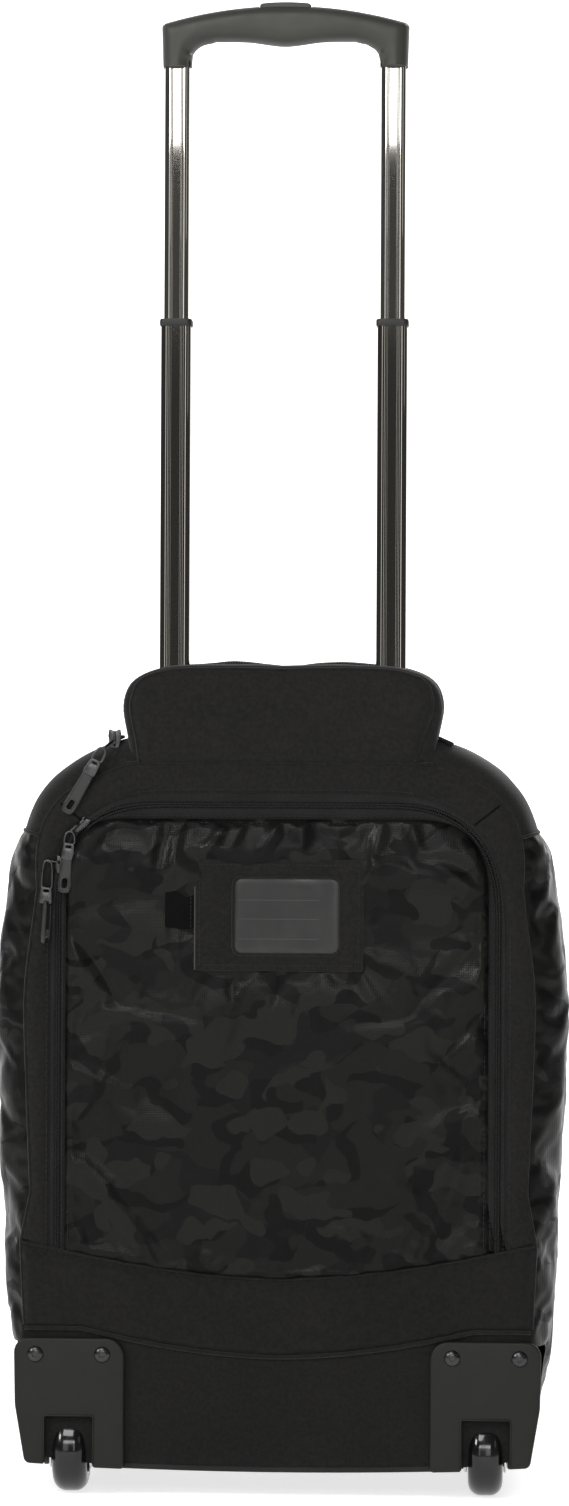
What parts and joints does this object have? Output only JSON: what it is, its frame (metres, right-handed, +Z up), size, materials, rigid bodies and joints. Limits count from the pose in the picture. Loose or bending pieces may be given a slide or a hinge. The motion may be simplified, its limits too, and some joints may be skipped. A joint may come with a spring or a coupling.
{
  "type": "rolling duffel bag",
  "caption": "Soft padded rolling cabin bag with a two-stage trolley handle, corner wheels, zipped back pocket, humped handle cover and a hinged front door.",
  "frame": {"origin": "on the floor under the middle of the bounding box, with the bag standing on its wheels and front feet", "axes": "+Z up along the trolley handle, -Y towards the wheels and handle side, +Y towards the front door, +X across the bag"},
  "size_m": [0.34, 0.22, 0.9177],
  "materials": {
    "neoprene": "matte",
    "camo_fabric": "satin",
    "lining": "matte",
    "webbing": "matte",
    "zip_tape": "matte",
    "board": "matte",
    "moulded": "matte",
    "black_plastic": "matte",
    "grip_plastic": "matte",
    "foot_rubber": "matte",
    "pull_rubber": "satin",
    "tread": "gloss",
    "rivet_steel": "satin",
    "steel": "gloss",
    "slider_metal": "satin",
    "outer_tube": "satin",
    "middle_tube": "anodised",
    "inner_tube": "anodised",
    "window": "gloss"
  },
  "bodies": {
    "bag": {"back_rim_sides": "neoprene", "back_rim_top": "neoprene", "bumper_band": "neoprene", "lower_back_panel": "neoprene", "side_panel_left": "camo_fabric", "side_panel_right": "camo_fabric", "shoulder_gusset": "neoprene", "bottom_panel": "webbing", "frame_sheet": "board", "divider_wall": "lining", "base_board": "board", "cover_rear_pad": "neoprene", "pocket_zip": "zip_tape", "main_zip": "zip_tape", "cover_zip": "zip_tape", "grab_handle": "webbing", "front_feet": "foot_rubber", "housing_left": "moulded", "housing_right": "moulded", "housing_rivets": "rivet_steel", "wheel_axles": "steel", "outer_tubes": "outer_tube", "tube_bracket": "black_plastic", "top_bezel": "black_plastic"},
    "wheel_left": {"wheel_left_tread": "tread", "wheel_left_hub": "black_plastic"},
    "wheel_right": {"wheel_right_tread": "tread", "wheel_right_hub": "black_plastic"},
    "handle_lower": {"middle_tubes": "middle_tube", "middle_collars": "black_plastic", "middle_plugs": "black_plastic"},
    "lower_pins": {"lower_lock_pins": "steel"},
    "handle_upper": {"inner_tubes": "inner_tube", "inner_plugs": "black_plastic", "grip": "grip_plastic"},
    "upper_pins": {"upper_lock_pins": "steel"},
    "button": {"release_button": "grip_plastic", "pull_rods": "steel"},
    "flap": {"pocket_flap": "camo_fabric", "id_frame": "neoprene", "id_window": "window", "id_tab": "webbing"},
    "cover": {"cover_near_pad": "neoprene"},
    "door": {"front_door": "camo_fabric", "front_pocket": "neoprene"},
    "cover_zip_slider": {"cover_slider": "slider_metal"},
    "cover_zip_pull": {"cover_pull_link": "slider_metal", "cover_pull_tab": "pull_rubber"},
    "pocket_upper_slider": {"pocket_slider_upper": "slider_metal"},
    "pocket_upper_pull": {"pocket_pull_upper_link": "slider_metal", "pocket_pull_upper_tab": "pull_rubber"},
    "pocket_lower_slider": {"pocket_slider_lower": "slider_metal"},
    "pocket_lower_pull": {"pocket_pull_lower_link": "slider_metal", "pocket_pull_lower_tab": "pull_rubber"},
    "main_side_slider": {"main_slider_side": "slider_metal"},
    "main_side_pull": {"main_pull_side": "slider_metal"},
    "main_top_slider": {"main_slider_top": "slider_metal"},
    "main_top_pull": {"main_pull_top": "slider_metal"}
  },
  "joints": [
    {"name": "wheel_left_spin", "type": "hinge", "parent": "bag", "child": "wheel_left", "pos_m": [-0.1275, -0.0845, 0.0255], "axis": [1, 0, 0], "continuous": true},
    {"name": "wheel_right_spin", "type": "hinge", "parent": "bag", "child": "wheel_right", "pos_m": [0.1275, -0.0845, 0.0255], "axis": [1, 0, 0], "continuous": true},
    {"name": "handle_lower_slide", "type": "slide", "parent": "bag", "child": "handle_lower", "axis": [0, 0, 1], "range_m": [-0.256, 0]},
    {"name": "lower_pins_slide", "type": "slide", "parent": "handle_lower", "child": "lower_pins", "axis": [0, -1, 0], "range_m": [0, 0.0025]},
    {"name": "handle_upper_slide", "type": "slide", "parent": "handle_lower", "child": "handle_upper", "axis": [0, 0, 1], "range_m": [-0.153, 0]},
    {"name": "upper_pins_slide", "type": "slide", "parent": "handle_upper", "child": "upper_pins", "axis": [0, -1, 0], "range_m": [0, 0.002]},
    {"name": "button_press", "type": "slide", "parent": "handle_upper", "child": "button", "axis": [0, 0, 1], "range_m": [-0.004, 0], "stiffness_N_per_m": 1800, "springref_m": 0.001},
    {"name": "flap_hinge", "type": "hinge", "parent": "bag", "child": "flap", "pos_m": [0, -0.105, 0.158], "axis": [1, 0, 0], "range_deg": [0, 70]},
    {"name": "cover_hinge", "type": "hinge", "parent": "bag", "child": "cover", "pos_m": [0, -0.104, 0.45], "axis": [1, 0, 0], "range_deg": [0, 35]},
    {"name": "door_hinge", "type": "hinge", "parent": "bag", "child": "door", "pos_m": [0.1705, 0.082, 0.24], "axis": [0, 0, -1], "range_deg": [0, 110]},
    {"name": "cover_slider_slide", "type": "slide", "parent": "bag", "child": "cover_zip_slider", "axis": [0, 0, 1], "range_m": [0, 0.022]},
    {"name": "cover_pull_swing", "type": "hinge", "parent": "cover_zip_slider", "child": "cover_zip_pull", "pos_m": [-0.1085, -0.1063, 0.457], "axis": [-0.866, 0, 0.5], "range_deg": [0, 90]},
    {"name": "pocket_upper_arc", "type": "hinge", "parent": "bag", "child": "pocket_upper_slider", "pos_m": [-0.094, -0.1036, 0.3835], "axis": [0, -1, 0], "range_deg": [-45, 0]},
    {"name": "pocket_upper_swing", "type": "hinge", "parent": "pocket_upper_slider", "child": "pocket_upper_pull", "pos_m": [-0.128, -0.1082, 0.406], "axis": [-0.9945, 0, 0.1045], "range_deg": [0, 90]},
    {"name": "pocket_lower_slide", "type": "slide", "parent": "bag", "child": "pocket_lower_slider", "axis": [0, 0, 1], "range_m": [-0.18, 0]},
    {"name": "pocket_lower_swing", "type": "hinge", "parent": "pocket_lower_slider", "child": "pocket_lower_pull", "pos_m": [-0.1418, -0.1064, 0.388], "axis": [-0.9986, 0, 0.0523], "range_deg": [0, 90]},
    {"name": "main_side_slide", "type": "slide", "parent": "bag", "child": "main_side_slider", "axis": [0, 0, 1], "range_m": [-0.3, 0]},
    {"name": "main_side_swing", "type": "hinge", "parent": "main_side_slider", "child": "main_side_pull", "pos_m": [-0.1685, 0.077, 0.364], "axis": [0, 1, 0], "range_deg": [0, 80]},
    {"name": "main_top_slide", "type": "slide", "parent": "bag", "child": "main_top_slider", "axis": [1, 0, 0], "range_m": [0, 0.1]},
    {"name": "main_top_swing", "type": "hinge", "parent": "main_top_slider", "child": "main_top_pull", "pos_m": [-0.038, 0.077, 0.4654], "axis": [0, -1, 0], "range_deg": [0, 100]}
  ]
}
